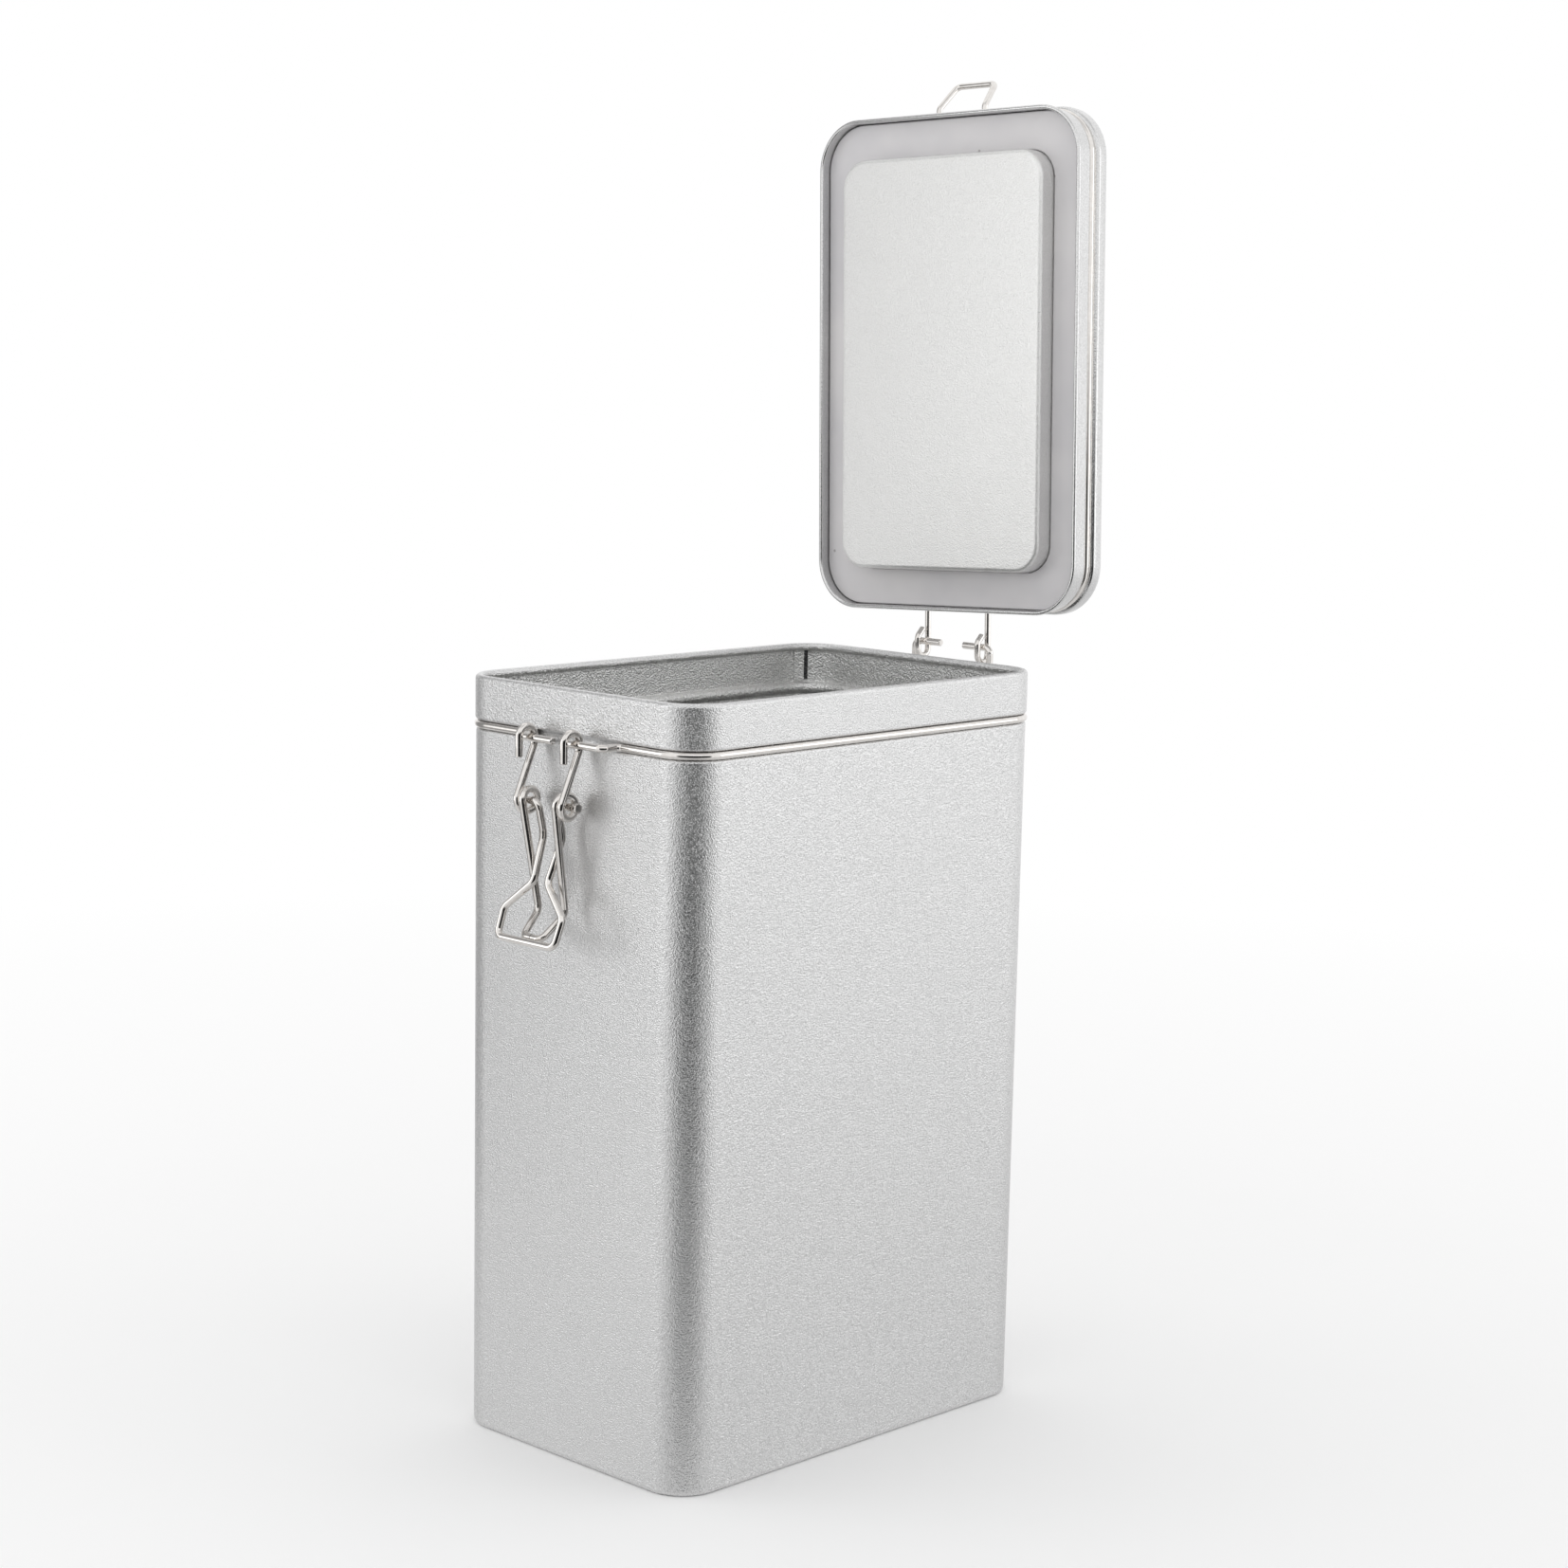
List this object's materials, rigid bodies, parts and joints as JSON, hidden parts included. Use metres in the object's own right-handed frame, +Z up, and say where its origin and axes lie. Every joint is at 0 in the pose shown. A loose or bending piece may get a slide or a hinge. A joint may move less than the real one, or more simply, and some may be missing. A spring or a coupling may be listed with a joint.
{
  "type": "airtight canister",
  "caption": "Upright rectangular tinplate canister with rounded corners, a swing lid with a sealing ring, and a wire clip latch, stored with the lid open.",
  "frame": {"origin": "middle of the underside of the foot", "axes": "+Z up, -Y towards the latch, +Y towards the lid hinge, +X to the right when the latch faces the viewer"},
  "size_m": [0.0876, 0.1545, 0.325],
  "materials": {
    "tinplate": "satin, fine-grained tinned sheet",
    "wire": "bright plated steel wire",
    "seal": "soft translucent grey"
  },
  "bodies": {
    "body": {"body_shell": "tinplate", "base_plate": "tinplate", "body_band_left": "wire", "body_band_right": "wire"},
    "lid": {"lid_shell": "tinplate", "lid_inner_plate": "tinplate", "lid_gasket": "seal", "lid_band": "wire"},
    "lever": {"latch_lever": "wire"},
    "bail": {"latch_bail": "wire"}
  },
  "joints": [
    {"name": "lid_hinge", "type": "hinge", "parent": "body", "child": "lid", "pos_m": [0, 0.0703, 0.18505], "axis": [0.9989, 0.046, 0], "range_deg": [0, 91.4]},
    {"name": "lever_pivot", "type": "hinge", "parent": "body", "child": "lever", "pos_m": [-0.002, -0.0642, 0.1714], "axis": [-1, 0, 0], "range_deg": [0, 60]},
    {"name": "bail_pivot", "type": "hinge", "parent": "lever", "child": "bail", "pos_m": [-0.002, -0.0647, 0.1571], "axis": [-1, 0, 0], "range_deg": [0, 115]}
  ]
}
